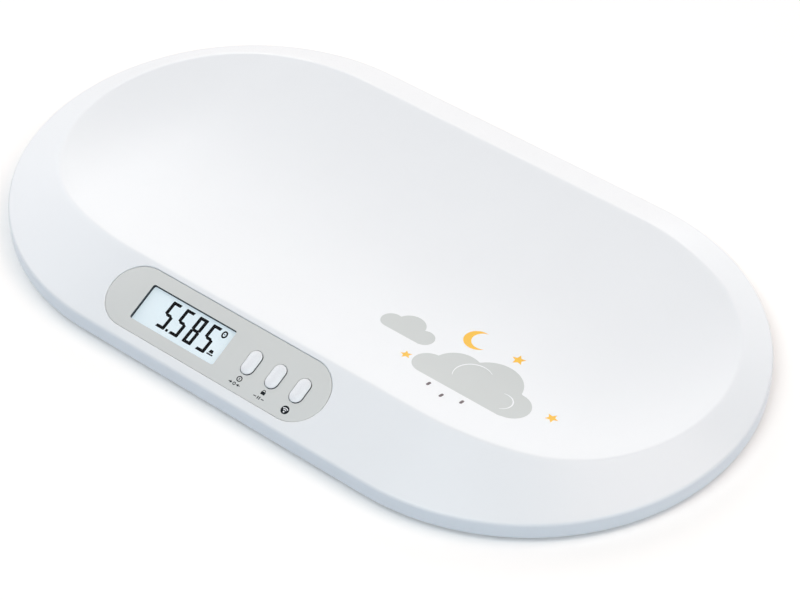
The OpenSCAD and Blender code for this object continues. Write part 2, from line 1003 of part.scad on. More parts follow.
// One wire from the battery bay to its socket; the two run side by side
module battery_lead(side) {
    goal = panel_x + battery_socket_x + side * wire_d;
    lane = bay_y - side * wire_d;
    rise_y = socket_y - battery_socket_down * cos(flank_slope);
    start = [bay_x + hook_end - bay_wall - 2, lane];
    slab(lead_z, lead_z + wire_d)
        strip([start, [goal + wire_turn, lane], [goal, lane - wire_turn], [goal, rise_y]], wire_d);
    slab(lead_z, socket_z - battery_socket_down * sin(flank_slope) - plug_gap)
        translate([goal, rise_y])
            square(wire_d, center = true);
}

module battery_lead_plus() { color("red") battery_lead(1); }
module battery_lead_minus() { color("black") battery_lead(-1); }

// ---- Load cells and feet ----

// A square steel plate whose middle tongue bends under load
module load_cell(i) {
    p = foot_places[i];
    inner = cell_side - 2 * cell_rim;
    color("silver")
        translate([p.x, p.y])
            slab(cell_z, cell_z + cell_t)
                difference() {
                    round_rect(cell_side, cell_side, cell_round);
                    difference() {
                        square(inner, center = true);
                        square(inner - 2 * cell_slot, center = true);
                        translate([0, inner / 2])
                            square([cell_neck, 4 * cell_slot], center = true);
                    }
                    translate([0, tongue_shift])
                        difference() {
                            square([tongue_w + 2 * cell_slot, tongue_len], center = true);
                            translate([0, -tongue_gap])
                                square([tongue_w, tongue_len], center = true);
                        }
                }
}

// A plastic frame that holds the cell's edge down on the base plate
module cell_carrier(i) {
    p = foot_places[i];
    color("white")
        translate([p.x, p.y])
            difference() {
                slab(floor_z, carrier_z)
                    round_rect(carrier_side, carrier_side, carrier_round);
                slab(floor_z - 1, cell_z + cell_t + SEAT)
                    square(cell_side + 2 * RUN, center = true);
                slab(floor_z - 1, carrier_z + 1)
                    round_rect(cell_side - 2 * carrier_lap, cell_side - 2 * carrier_lap, carrier_round);
                translate([-sign(p.x) * carrier_side / 2, -lead_exit])
                    slab(floor_z - 1, floor_z + lead_notch_h)
                        square([2 * carrier_wall, lead_w + 1], center = true);
            }
}

// A round foot: a disc with a rounded edge and the post above it
module foot(i) {
    p = foot_places[i];
    color("white")
        translate([p.x, p.y, 0])
            difference() {
                union() {
                    translate([0, 0, foot_z])
                        rotate_extrude()
                            foot_section();
                    translate([0, 0, foot_z + foot_t - EPS])
                        cylinder(d = post_d, h = cell_z - foot_z - foot_t + EPS);
                }
                translate([0, 0, foot_z - 1])
                    cylinder(d = pad_d + pad_play, h = pad_pocket + 1);
            }
}

// Half of the section of a foot's disc, its lower corner rounded
module foot_section() {
    square([foot_d / 2 - foot_round, foot_t]);
    translate([0, foot_round])
        square([foot_d / 2, foot_t - foot_round]);
    translate([foot_d / 2 - foot_round, foot_round])
        circle(r = foot_round, $fn = ROUND_SMALL);
}

module foot_pad(i) {
    p = foot_places[i];
    color("gray")
        translate([p.x, p.y, 0])
            difference() {
                cylinder(d = pad_d, h = pad_t);
                translate([0, 0, -1])
                    difference() {
                        cylinder(d = pad_d - 2 * pad_groove_inset, h = 1 + pad_groove_depth);
                        translate([0, 0, -1])
                            cylinder(d = pad_d - 2 * (pad_groove_inset + pad_groove_w), h = 3);
                    }
            }
}

top_tray();
base_plate();
casing_screws();
control_panel();
display_lens();
display_glass();
display_backlight();
display_frame();
contact_strips();
circuit_board();
board_screws();
tact_switches();
board_chips();
radio_module();
board_sockets();
power_key();
hold_key();
wireless_key();
power_plunger();
hold_plunger();
wireless_plunger();
batteries();
battery_springs();
battery_contacts();
battery_cover();
sensor_leads();
battery_lead_plus();
battery_lead_minus();
for (i = [0:3]) {
    load_cell(i);
    cell_carrier(i);
    foot(i);
    foot_pad(i);
}
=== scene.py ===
"""Looks of the digital baby weighing scale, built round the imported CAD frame. Lengths are in metres."""
import json
import math

import bmesh
import bpy
import numpy as np
from mathutils import Matrix, Vector


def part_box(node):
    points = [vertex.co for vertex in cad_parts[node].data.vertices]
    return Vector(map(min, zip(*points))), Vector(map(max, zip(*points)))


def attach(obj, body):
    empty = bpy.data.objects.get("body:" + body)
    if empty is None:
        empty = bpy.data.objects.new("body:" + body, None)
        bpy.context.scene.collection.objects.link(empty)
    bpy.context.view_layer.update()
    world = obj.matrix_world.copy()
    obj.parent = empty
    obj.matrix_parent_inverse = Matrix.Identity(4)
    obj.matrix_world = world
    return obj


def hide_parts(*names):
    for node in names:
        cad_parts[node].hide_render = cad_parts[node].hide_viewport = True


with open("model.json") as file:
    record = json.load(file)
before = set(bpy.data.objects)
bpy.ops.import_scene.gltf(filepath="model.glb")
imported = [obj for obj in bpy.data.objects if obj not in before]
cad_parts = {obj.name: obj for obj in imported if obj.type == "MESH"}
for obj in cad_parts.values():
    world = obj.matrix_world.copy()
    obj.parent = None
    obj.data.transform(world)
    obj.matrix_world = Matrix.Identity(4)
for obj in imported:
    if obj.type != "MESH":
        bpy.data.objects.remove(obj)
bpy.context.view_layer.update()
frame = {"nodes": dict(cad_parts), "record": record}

MM = 0.001

# ---- What the frame gives ----

tray_low, tray_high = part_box("top_tray")
HALF_W = tray_high.y
END_X = tray_high.x - HALF_W
SKIRT_Z = tray_low.z

# ---- The tray's surfaces, as in the CAD but for the two finer roundings ----

RIM_Z = 16 * MM
SLOPE = math.radians(23)
WALL = 2.6 * MM
TROUGH_R = 490 * MM
TROUGH_Z = 18.2 * MM
TROUGH_Y = 28 * MM
TROUGH_END_R = 300 * MM
TROUGH_END_INSET = 92 * MM
TURN_X = END_X + HALF_W - TROUGH_END_INSET
EDGE_R = 2.5 * MM
CREST_BLEND = 1.0 * MM

# ---- How the tray's skin is divided; shares are of the stretch that they divide ----

STRAIGHT_STEPS = 64
ARC_STEPS = 112
EDGE_STEPS = 8
LEAST_EDGE_R = 0.4 * MM
SKIRT_SHARE = 0.35
EDGE_LEAD = 1.5 * MM
FLANK_SHARES = (0.03, 0.1, 0.25, 0.45, 0.65, 0.82, 0.93)
CREST_ZONE = 9 * MM
CREST_ROWS = 25
CREST_CROWDING = 1.3
BASIN_SHARES = (0.015, 0.04, *np.linspace(0.08, 1, 36))
HALVINGS = 40
WELD = 0.01 * MM

# ---- The control panel: x along the tray, y up the flank, z out of it ----

PANEL_LEN = 180 * MM
PANEL_W = 45 * MM
PANEL_UP = 30 * MM
PANEL_X = -25 * MM
PANEL_FACE = -0.4 * MM
PANEL_BACK = -1.9 * MM
PANEL_GAP = 0.28 * MM
PANEL_SOFT = 0.25 * MM
PANEL_STEPS = 32
SOFT_STEPS = 5
POCKET_UP = 0.1 * MM
POCKET_MOUTH = 0.7 * MM
MOUTH_STEPS = 6
LEDGE_BACK = -3.9 * MM
LEDGE_TOP = -1.2 * MM
LEDGE_GROW = 2.4 * MM
PANEL_MIDDLE = (PANEL_X, PANEL_UP * math.cos(SLOPE) - HALF_W, RIM_Z + PANEL_UP * math.sin(SLOPE))
PANEL_FRAME = Matrix.Translation(PANEL_MIDDLE) @ Matrix.Rotation(SLOPE, 4, "X")

# How far a cutter reaches past a face, laps into a pocket and stands above the flank
CUT_PAST = 1 * MM
CUT_LAP = 0.02 * MM
CUT_TOP = 20 * MM

# ---- The display ----

WINDOW_AT = (-27.8 * MM, -0.6 * MM)
WINDOW_LEN = 71.5 * MM
WINDOW_H = 27.2 * MM
WINDOW_ROUND = 1.6 * MM
# A band of painted shade round the display's view; its shift shows more of it along the window's upper
# wall.
MASK_BORDER = 2 * MM
MASK_SHIFT = 0.35 * MM
PORT_LEN = 81.4 * MM
PORT_H = 37.1 * MM
PORT_ROUND = 1 * MM
PORT_STEPS = 16
GLASS_TOP = -3.0 * MM

# ---- The keys ----

KEY_LEN = 17.6 * MM
KEY_W = 9.4 * MM
KEY_X = (30.1 * MM, 50.1 * MM, 70.1 * MM)
KEY_STEPS = 20
KEY_GAP = 0.5 * MM
KEY_TOP = 1.2 * MM
KEY_SHOULDER = 1.2 * MM
SHOULDER_STEPS = 7
SHOULDER_RISE = 0.62
CROWN_STEPS = 6
CROWN_CLOSING = 0.98
FLANGE_LAP = 1.3 * MM
FLANGE_ROOM = 0.4 * MM
FLANGE_Z = (-2.75 * MM, -1.95 * MM)
STEM_LOW = -5.6 * MM
STEM_D = 4 * MM
SLIVER = 0.02 * MM
SKIRT_NEAR = 0.1 * MM


# ---- Mesh helpers; a crease is the angle in degrees above which an edge stays sharp ----

CREASE = 30
TRAY_CREASE = 32
KEY_CREASE = 40
PRINT_CREASE = 60


def smooth(mesh, crease):
    """Shades a mesh smooth but for edges sharper than the crease."""
    mesh.shade_smooth()
    mesh.set_sharp_from_angle(angle=math.radians(crease))


def new_object(name, bm, material, crease=CREASE):
    """A scene object made of a bmesh."""
    mesh = bpy.data.meshes.new(name)
    bmesh.ops.recalc_face_normals(bm, faces=bm.faces)
    bm.to_mesh(mesh)
    bm.free()
    smooth(mesh, crease)
    obj = bpy.data.objects.new(name, mesh)
    bpy.context.scene.collection.objects.link(obj)
    if material:
        mesh.materials.append(material)
    return obj


def skin(bm, low, high):
    """Adds the faces between two closed rows of vertices."""
    for i in range(len(low)):
        j = (i + 1) % len(low)
        bm.faces.new((low[i], low[j], high[j], high[i]))


def loft(bm, rings):
    """Skins a list of rings, each a list of points, and caps both ends."""
    rows = [[bm.verts.new(p) for p in ring] for ring in rings]
    for low, high in zip(rows, rows[1:]):
        skin(bm, low, high)
    bm.faces.new(list(reversed(rows[0])))
    bm.faces.new(rows[-1])


def stadium(length, width, z, steps, centre=(0, 0), upright=False):
    """Points of an outline with straight sides and round ends."""
    r = width / 2
    half = length / 2 - r
    points = []
    for side in (1, -1):
        for i in range(steps + 1):
            a = math.pi * (i / steps - 0.5)
            points.append((side * (half + r * math.cos(a)), side * r * math.sin(a)))
    if upright:
        points = [(-y, x) for x, y in points]
    return [(centre[0] + x, centre[1] + y, z) for x, y in points]


def disc(diameter, z, steps, centre=(0, 0), upright=False):
    """Points of a round outline, a sliver longer than wide so that none of them coincide."""
    return stadium(diameter + SLIVER, diameter, z, steps, centre, upright)


def rounded_box(length, width, radius, z, centre, steps=6):
    """Points of a rectangle with round corners."""
    points = []
    for k, (sx, sy) in enumerate(((1, 1), (-1, 1), (-1, -1), (1, -1))):
        for i in range(steps + 1):
            a = math.pi / 2 * (k + i / steps)
            x = sx * (length / 2 - radius) + radius * math.cos(a)
            y = sy * (width / 2 - radius) + radius * math.sin(a)
            points.append((centre[0] + x, centre[1] + y, z))
    return points


def panel_ring(grow, z, centre=(0, 0)):
    """The panel's outline, longer and wider by grow."""
    return stadium(PANEL_LEN + grow, PANEL_W + grow, z, PANEL_STEPS, centre)


def key_ring(x, grow, z, steps=KEY_STEPS):
    """The outline of a key at its place along the panel, longer and wider by grow."""
    return stadium(KEY_LEN + grow, KEY_W + grow, z, steps, (x, 0), True)


def boolean(obj, cutter, operation):
    """Applies one exact boolean and removes the cutter."""
    mod = obj.modifiers.new(operation, "BOOLEAN")
    mod.operation = operation
    mod.solver = "EXACT"
    mod.object = cutter
    bpy.context.view_layer.update()
    graph = bpy.context.evaluated_depsgraph_get()
    mesh = bpy.data.meshes.new_from_object(obj.evaluated_get(graph))
    obj.modifiers.clear()
    obj.data = mesh
    bpy.data.objects.remove(cutter)


# ---- Tray ----

def flank_z(x, y, inset):
    """Height of the flank, or of its inner face when inset is the wall's thickness."""
    d = HALF_W - math.hypot(max(abs(x) - END_X, 0), y)
    return RIM_Z + d * math.tan(SLOPE) - inset / math.cos(SLOPE)


def trough_z(x, y, inset):
    """Height of the lying surface, a drum with ends that turn in; infinite where it has turned upright."""
    over = max(abs(x) - TURN_X, 0)
    turned = TROUGH_END_R + inset
    if over >= turned:
        return math.inf
    g = turned - math.sqrt(turned ** 2 - over ** 2)
    r = TROUGH_R + inset - g
    return TROUGH_Z + TROUGH_R - math.sqrt(max(r ** 2 - (y - TROUGH_Y) ** 2, 0))


def top_z(x, y, inset=0.0):
    """Height of the tray with its crest rounded."""
    a = flank_z(x, y, inset)
    b = trough_z(x, y, inset)
    h = max(CREST_BLEND - abs(a - b), 0)
    return min(a, b) - h * h / (4 * CREST_BLEND)


def outline_places():
    """Base point on the middle line and direction outwards, for each column of the tray's grid."""
    places = []
    for side in (-1, 1):
        start = side * math.pi / 2
        for i in range(STRAIGHT_STEPS):
            places.append(((side * END_X * (1 - 2 * i / STRAIGHT_STEPS), 0), start))
        for i in range(ARC_STEPS):
            places.append(((-side * END_X, 0), start + math.pi * i / ARC_STEPS))
    return places


def crest_reach(base, angle, inset):
    """Distance from the middle line at which flank and trough meet."""
    low = 0.0
    high = HALF_W
    for _ in range(HALVINGS):
        r = (low + high) / 2
        x = base[0] + r * math.cos(angle)
        y = base[1] + r * math.sin(angle)
        if flank_z(x, y, inset) > trough_z(x, y, inset):
            low = r
        else:
            high = r
    return low


def tray_column(base, angle, inset):
    """Points of one column, from the skirt's lower edge over the crest to the middle line."""
    wall = HALF_W - inset
    r_edge = max(EDGE_R - inset, LEAST_EDGE_R)
    turn = math.pi / 2 - SLOPE
    corner_z = RIM_Z + inset * (math.tan(SLOPE) - 1 / math.cos(SLOPE))
    start_z = corner_z - r_edge * math.tan(turn / 2)
    skirt_row = SKIRT_Z + SKIRT_SHARE * (start_z - SKIRT_Z)
    column = [(wall, SKIRT_Z), (wall, skirt_row), (wall, start_z - EDGE_LEAD)]
    for i in range(EDGE_STEPS + 1):
        a = turn * i / EDGE_STEPS
        column.append((wall - r_edge + r_edge * math.cos(a), start_z + r_edge * math.sin(a)))
    edge_end = column[-1][0]
    crest = crest_reach(base, angle, inset)
    flank = [edge_end + (crest + CREST_ZONE - edge_end) * t for t in FLANK_SHARES]
    spread = np.linspace(1, -1, CREST_ROWS)
    crest_rows = [crest + CREST_ZONE * math.copysign(abs(t) ** CREST_CROWDING, t) for t in spread]
    basin = [(crest - CREST_ZONE) * (1 - t) for t in BASIN_SHARES]
    for r in (*flank, *crest_rows, *basin):
        x = base[0] + r * math.cos(angle)
        y = base[1] + r * math.sin(angle)
        column.append((r, top_z(x, y, inset)))
    return [(base[0] + r * math.cos(angle), base[1] + r * math.sin(angle), z) for r, z in column]


def tray_skin(bm, inset):
    """One face of the tray's wall; returns its lowest row."""
    columns = [tray_column(base, angle, inset) for base, angle in outline_places()]
    rows = [[bm.verts.new(column[k]) for column in columns] for k in range(len(columns[0]))]
    for low, high in zip(rows, rows[1:]):
        skin(bm, low, high)
    return rows[0]


def panel_prism(rings):
    """A closed solid in the panel's frame from rings of points."""
    bm = bmesh.new()
    loft(bm, rings)
    bmesh.ops.transform(bm, matrix=PANEL_FRAME, verts=bm.verts)
    return new_object("cutter", bm, None)


def pocket_cutter():
    """The pocket of the panel, its mouth rounded."""
    centre = (0, POCKET_UP)
    rings = [panel_ring(2 * PANEL_GAP, PANEL_BACK, centre)]
    for i in range(MOUTH_STEPS + 1):
        a = math.pi / 2 * i / MOUTH_STEPS
        grow = 2 * (PANEL_GAP + POCKET_MOUTH * (1 - math.cos(a)))
        rings.append(panel_ring(grow, -POCKET_MOUTH + POCKET_MOUTH * math.sin(a), centre))
    rings.append(panel_ring(2 * (PANEL_GAP + POCKET_MOUTH), CUT_TOP, centre))
    return panel_prism(rings)


def port_cutters():
    """The openings behind the panel for the display and the keys."""
    heights = (LEDGE_BACK - CUT_PAST, PANEL_BACK + CUT_LAP)
    shapes = [[rounded_box(PORT_LEN, PORT_H, PORT_ROUND, z, WINDOW_AT) for z in heights]]
    for x in KEY_X:
        shapes.append([key_ring(x, 2 * (FLANGE_LAP + FLANGE_ROOM), z, PORT_STEPS) for z in heights])
    return [panel_prism(rings) for rings in shapes]


def make_tray(material):
    """The tray: a shell with the pocket, the ledge behind the panel and its ports."""
    bm = bmesh.new()
    skin(bm, tray_skin(bm, 0.0), tray_skin(bm, WALL))
    bmesh.ops.remove_doubles(bm, verts=bm.verts, dist=WELD)
    tray = new_object("tray_shell", bm, material)
    ledge = panel_prism([panel_ring(2 * LEDGE_GROW, z) for z in (LEDGE_BACK, LEDGE_TOP)])
    boolean(tray, ledge, "UNION")
    boolean(tray, pocket_cutter(), "DIFFERENCE")
    for cutter in port_cutters():
        boolean(tray, cutter, "DIFFERENCE")
    smooth(tray.data, TRAY_CREASE)
    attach(tray, "casing")
    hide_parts("top_tray")


# ---- Materials ----

DRIFT_SCALE = 14
GRAIN_STRENGTH = 0.5
LEAST_ROUGHNESS = 0.02

FINISHES = [
    # name, colour, roughness, grain in waves per metre, its height in mm, drift of the colour,
    # spread of the roughness, metallic, specular level; the last three may be left out
    ("tray_plastic", (0.90, 0.91, 0.925), 0.3, 1400, 0.004, 0.006, 0.03),
    ("base_plastic", (0.82, 0.83, 0.84), 0.5, 900, 0.03, 0.02),
    ("foot_plastic", (0.78, 0.79, 0.80), 0.5, 900, 0.03, 0.02),
    ("panel_plastic", (0.695, 0.70, 0.68), 0.42, 1600, 0.01, 0.015),
    ("key_plastic", (0.90, 0.905, 0.92), 0.28, 1400, 0.004, 0.006, 0.03),
    ("inner_plastic", (0.80, 0.80, 0.78), 0.5, 900, 0.02, 0.02),
    ("contact_rubber", (0.06, 0.06, 0.065), 0.8, 1200, 0.03, 0.1),
    ("board_green", (0.03, 0.18, 0.08), 0.35, 700, 0.02, 0.1),
    ("screw_steel", (0.62, 0.62, 0.63), 0.3, 1500, 0.01, 0.05, 0.08, 1.0),
    ("shield_steel", (0.68, 0.67, 0.65), 0.3, 1200, 0.01, 0.05, 0.08, 1.0),
    ("cell_steel", (0.56, 0.57, 0.58), 0.36, 1200, 0.02, 0.05, 0.08, 1.0),
    ("switch_black", (0.02, 0.02, 0.022), 0.5, 1200, 0.02, 0.1),
    ("battery_jacket", (0.06, 0.07, 0.09), 0.3, 1200, 0.01, 0.1),
    ("lead_grey", (0.30, 0.30, 0.31), 0.55, 1200, 0.02, 0.05),
    ("lead_red", (0.45, 0.02, 0.02), 0.5, 1200, 0.02, 0.05),
    ("pad_rubber", (0.30, 0.31, 0.32), 0.75, 1500, 0.05, 0.06),
    ("light_guide", (0.80, 0.88, 0.92), 0.4, 800, 0.01, 0.01),
    # window_dark paints shade: a near-black for the display window's walls, the keys' skirts in their holes
    # and a band round the display's view.
    ("window_dark", (0.02, 0.032, 0.045), 0.5, 1500, 0.01, 0.06),
    ("segment_ink", (0.002, 0.002, 0.003), 0.6, 1500, 0.002, 0.08, 0.04, 0.0, 0.05),
    ("sign_ink", (0.008, 0.010, 0.013), 0.55, 1500, 0.002, 0.06, 0.04, 0.0, 0.1),
    ("print_grey", (0.60, 0.62, 0.61), 0.35, 1500, 0.003, 0.015),
    ("print_yellow", (0.95, 0.53, 0.035), 0.35, 1500, 0.003, 0.02),
    ("print_brown", (0.09, 0.055, 0.065), 0.35, 1500, 0.003, 0.05),
]


def node_material(name):
    """A new material, with its node tree and its Principled shader."""
    material = bpy.data.materials.new(name)
    material.use_nodes = True
    tree = material.node_tree
    return material, tree, tree.nodes["Principled BSDF"]


def add_noise(tree, scale, detail, rough=0.5):
    """A noise in the object's own coordinates; scale is in waves per metre."""
    place = tree.nodes.new("ShaderNodeTexCoord")
    noise = tree.nodes.new("ShaderNodeTexNoise")
    noise.inputs["Scale"].default_value = scale
    noise.inputs["Detail"].default_value = detail
    noise.inputs["Roughness"].default_value = rough
    tree.links.new(place.outputs["Object"], noise.inputs["Vector"])
    return noise


def add_ramp(tree, source, low, high, start=0.3, end=0.7):
    """Colours or greys between low and high, led by a source."""
    ramp = tree.nodes.new("ShaderNodeValToRGB")
    ramp.color_ramp.elements[0].position = start
    ramp.color_ramp.elements[0].color = low
    ramp.color_ramp.elements[1].position = end
    ramp.color_ramp.elements[1].color = high
    tree.links.new(source, ramp.inputs["Fac"])
    return ramp


def shade(colour, factor):
    """A colour made darker or lighter, with full alpha."""
    return tuple(min(c * factor, 1.0) for c in colour) + (1.0,)


def moulded(name, colour, roughness, grain, height, drift, spread=0.04, metallic=0.0, specular=0.5):
    """Plastic, rubber, metal or ink: colour drifts a little, the gloss varies and a fine grain lifts it."""
    material, tree, shader = node_material(name)
    broad = add_noise(tree, DRIFT_SCALE, 3)
    tint = add_ramp(tree, broad.outputs["Fac"], shade(colour, 1 - drift), shade(colour, 1 + drift))
    tree.links.new(tint.outputs["Color"], shader.inputs["Base Color"])
    fine = add_noise(tree, grain, 3, 0.6)
    low = max(roughness - spread, LEAST_ROUGHNESS)
    high = roughness + spread
    gloss = add_ramp(tree, fine.outputs["Fac"], (low, low, low, 1), (high, high, high, 1))
    tree.links.new(gloss.outputs["Color"], shader.inputs["Roughness"])
    lift = tree.nodes.new("ShaderNodeBump")
    lift.inputs["Strength"].default_value = GRAIN_STRENGTH
    lift.inputs["Distance"].default_value = height * MM
    tree.links.new(fine.outputs["Fac"], lift.inputs["Height"])
    tree.links.new(lift.outputs["Normal"], shader.inputs["Normal"])
    shader.inputs["Metallic"].default_value = metallic
    shader.inputs["Specular IOR Level"].default_value = specular
    return material


def display_material():
    """The pale display: its tint drifts a little, and it glows faintly, partly as its backlight and partly
    as painted light that lifts the shade of the window's recess.
    """
    material, tree, shader = node_material("display_glass")
    broad = add_noise(tree, 30, 2)
    tint = add_ramp(tree, broad.outputs["Fac"], (0.69, 0.79, 0.84, 1), (0.75, 0.84, 0.88, 1))
    tree.links.new(tint.outputs["Color"], shader.inputs["Base Color"])
    shader.inputs["Roughness"].default_value = 0.35
    # Painted light in part: this glow stands for the backlight and also lifts the recess's shade off the
    # display.
    tree.links.new(tint.outputs["Color"], shader.inputs["Emission Color"])
    shader.inputs["Emission Strength"].default_value = 0.38
    return material


def lens_material():
    """The clear lens: nearly unseen, with a thin gloss that noise breaks up a little."""
    material, tree, shader = node_material("lens_clear")
    fine = add_noise(tree, 300, 2)
    gloss = add_ramp(tree, fine.outputs["Fac"], (0.04, 0.04, 0.04, 1), (0.08, 0.08, 0.08, 1))
    tree.links.new(gloss.outputs["Color"], shader.inputs["Roughness"])
    shader.inputs["Base Color"].default_value = (0.02, 0.02, 0.02, 1)
    shader.inputs["Alpha"].default_value = 0.05
    return material


def make_materials():
    """One material for each slot, and those of the printed and dark parts, by name."""
    made = {finish[0]: moulded(*finish) for finish in FINISHES}
    made["display_glass"] = display_material()
    made["lens_clear"] = lens_material()
    return made


def dress_nodes(materials):
    """Gives each CAD node the material of its slot."""
    for part in frame["record"]["subparts"]:
        mesh = frame["nodes"][part["node"]].data
        mesh.materials.clear()
        mesh.materials.append(materials[part["material_slot"]])


# ---- Panel and keys ----

def panel_piece(name, bm, materials, body, slot, crease=CREASE):
    """A piece built in the panel's frame, put in place on its body."""
    bmesh.ops.transform(bm, matrix=PANEL_FRAME, verts=bm.verts)
    obj = new_object(name, bm, materials[slot], crease)
    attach(obj, body)
    return obj


def window_cutter(materials, heights):
    """The cutter of the display's opening, which leaves walls in a near-black that paints their shade."""
    window = panel_prism([rounded_box(WINDOW_LEN, WINDOW_H, WINDOW_ROUND, z, WINDOW_AT) for z in heights])
    window.data.materials.append(materials["panel_plastic"])
    window.data.materials.append(materials["window_dark"])
    # Painted shade: every face of the cutter, and so each wall of the window, takes the near-black.
    for face in window.data.polygons:
        face.material_index = 1
    return window


def make_panel(materials):
    """The grey plate with a softened edge, a window whose walls are near-black as painted shade, and three
    key holes.
    """
    bm = bmesh.new()
    rings = [panel_ring(0, PANEL_BACK), panel_ring(0, PANEL_FACE - PANEL_SOFT)]
    for i in range(1, SOFT_STEPS + 1):
        a = math.pi / 2 * i / SOFT_STEPS
        inset = 2 * PANEL_SOFT * (1 - math.cos(a))
        rings.append(panel_ring(-inset, PANEL_FACE - PANEL_SOFT + PANEL_SOFT * math.sin(a)))
    loft(bm, rings)
    panel = panel_piece("panel_plate", bm, materials, "casing", "panel_plastic")
    # The near-black paints shade on the window's walls.
    panel.data.materials.append(materials["window_dark"])
    heights = (PANEL_BACK - CUT_PAST, PANEL_FACE + CUT_PAST)
    boolean(panel, window_cutter(materials, heights), "DIFFERENCE")
    for x in KEY_X:
        hole = panel_prism([key_ring(x, 2 * KEY_GAP, z) for z in heights])
        hole.data.materials.append(materials["panel_plastic"])
        boolean(panel, hole, "DIFFERENCE")
    smooth(panel.data, CREASE)
    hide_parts("control_panel")


def key_rings(x):
    """Rings of a key from its stem up: stem, flange, skirt up to the flank, shoulder and crown."""
    flange = 2 * FLANGE_LAP
    rings = [disc(STEM_D, z, KEY_STEPS, (x, 0), True) for z in (STEM_LOW, FLANGE_Z[0])]
    rings += [key_ring(x, flange, z) for z in FLANGE_Z]
    rings += [key_ring(x, 0, z) for z in (FLANGE_Z[1], 0.0)]
    for i in range(1, SHOULDER_STEPS + 1):
        a = math.pi / 2 * i / SHOULDER_STEPS
        inset = 2 * KEY_SHOULDER * (1 - math.cos(a))
        rings.append(key_ring(x, -inset, SHOULDER_RISE * KEY_TOP * math.sin(a)))
    for i in range(1, CROWN_STEPS + 1):
        t = i / CROWN_STEPS
        inset = 2 * KEY_SHOULDER + (KEY_W - 2 * KEY_SHOULDER) * CROWN_CLOSING * t
        rise = SHOULDER_RISE + (1 - SHOULDER_RISE) * (1 - (1 - t) ** 2)
        rings.append(key_ring(x, -inset, KEY_TOP * rise))
    return rings


def paint_skirt_shade(key, dark):
    """Gives the dark material, as painted shade, to the faces between the key's flange and the foot of its
    cap.

    They are the ones whose centre is near the middle height of that stretch."""
    key.data.materials.append(dark)
    back = PANEL_FRAME.inverted()
    middle = FLANGE_Z[1] / 2
    for face in key.data.polygons:
        # Painted shade: these faces, down in the gap round the cap, take the near-black.
        if abs((back @ face.center).z - middle) < SKIRT_NEAR:
            face.material_index = 1


def make_key(name, x, materials):
    """A key: stem, flange, a skirt in the hole darkened as painted shade, and a pillow-shaped cap."""
    bm = bmesh.new()
    loft(bm, key_rings(x))
    key = panel_piece(f"key_cap_{name}", bm, materials, name, "key_plastic", KEY_CREASE)
    paint_skirt_shade(key, materials["window_dark"])
    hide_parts(f"{name}_key")


# ---- Thin printed shapes; a layer is the lower and the upper height of the print ----

INK = (GLASS_TOP + 0.005 * MM, GLASS_TOP + 0.03 * MM)
SIGN = (PANEL_FACE - 0.01 * MM, PANEL_FACE + 0.015 * MM)
SIGN_OVER = (SIGN[1], SIGN[1] + 0.02 * MM)
WHOLE_TURN = 2 * math.pi


def in_mm(pairs):
    """Points given in millimetres."""
    return [(x * MM, y * MM) for x, y in pairs]


def plate(bm, points, layer, at=(0.0, 0.0)):
    """Adds a thin closed plate with a given outline at a place."""
    loft(bm, [[(at[0] + p[0], at[1] + p[1], z) for p in points] for z in layer])


def band(bm, centre, half_x, half_y, width, layer, start=0.0, end=WHOLE_TURN, steps=32):
    """Adds a thin band along an ellipse, whole or from one angle to another."""
    whole = end - start >= WHOLE_TURN
    low, high = layer
    rows = []
    for i in range(steps if whole else steps + 1):
        a = start + (end - start) * i / steps
        rim = []
        for side in (-1, 1):
            x = centre[0] + (half_x + side * width / 2) * math.cos(a)
            y = centre[1] + (half_y + side * width / 2) * math.sin(a)
            rim.append((x, y))
        corners = ((*rim[0], low), (*rim[1], low), (*rim[1], high), (*rim[0], high))
        rows.append([bm.verts.new(corner) for corner in corners])
    for a, b in zip(rows, rows[1:]):
        skin(bm, a, b)
    if whole:
        skin(bm, rows[-1], rows[0])
    else:
        bm.faces.new(rows[0])
        bm.faces.new(list(reversed(rows[-1])))


def round_band(bm, centre, radius, width, layer, **stretch):
    """Adds a thin round band."""
    band(bm, centre, radius, radius, width, layer, **stretch)


def stroke(bm, start, end, width, layer):
    """Adds a straight stroke."""
    along = Vector((end[0] - start[0], end[1] - start[1])).normalized()
    side = Vector((-along.y, along.x)) * width / 2
    corners = []
    for at, way in ((start, 1), (start, -1), (end, -1), (end, 1)):
        corners.append((at[0] + way * side.x, at[1] + way * side.y))
    plate(bm, corners, layer)


# ---- Display: digits, signs and border ----

DIGIT_W = 7.4 * MM
DIGIT_H = 20.4 * MM
DIGIT_LEAN = 0.8 * MM
DIGIT_LOW = -10.0 * MM
DIGIT_START = -45.9 * MM
DIGIT_PITCH = 11.45 * MM
UPRIGHT_STROKE = 2.4 * MM
LEVEL_STROKE = 2.1 * MM
DIGIT_BEVEL = 0.45 * MM
FREE_END_LOW = 0.7 * MM
FREE_END_HIGH = 0.15 * MM
POINT_SIDE = 1.9 * MM
READING = "5585"
POINT_AFTER = 0
LIT = {"5": "afgcd", "8": "abcdefg"}
OVAL_AT = (0.3 * MM, 7.6 * MM)
PAN_AT = (-0.1 * MM, -9.0 * MM)


def level_bar(left_joined, right_joined):
    """Outline of a digit's top bar below y = 0; an end that joins no upright is cut at a slant."""
    joined = [(UPRIGHT_STROKE, -LEVEL_STROKE), (0, -DIGIT_BEVEL), (DIGIT_BEVEL, 0)]
    free = [(FREE_END_LOW, -LEVEL_STROKE), (FREE_END_HIGH, 0)]
    left = joined if left_joined else free
    right = joined if right_joined else free
    return left + [(DIGIT_W - x, y) for x, y in reversed(right)]


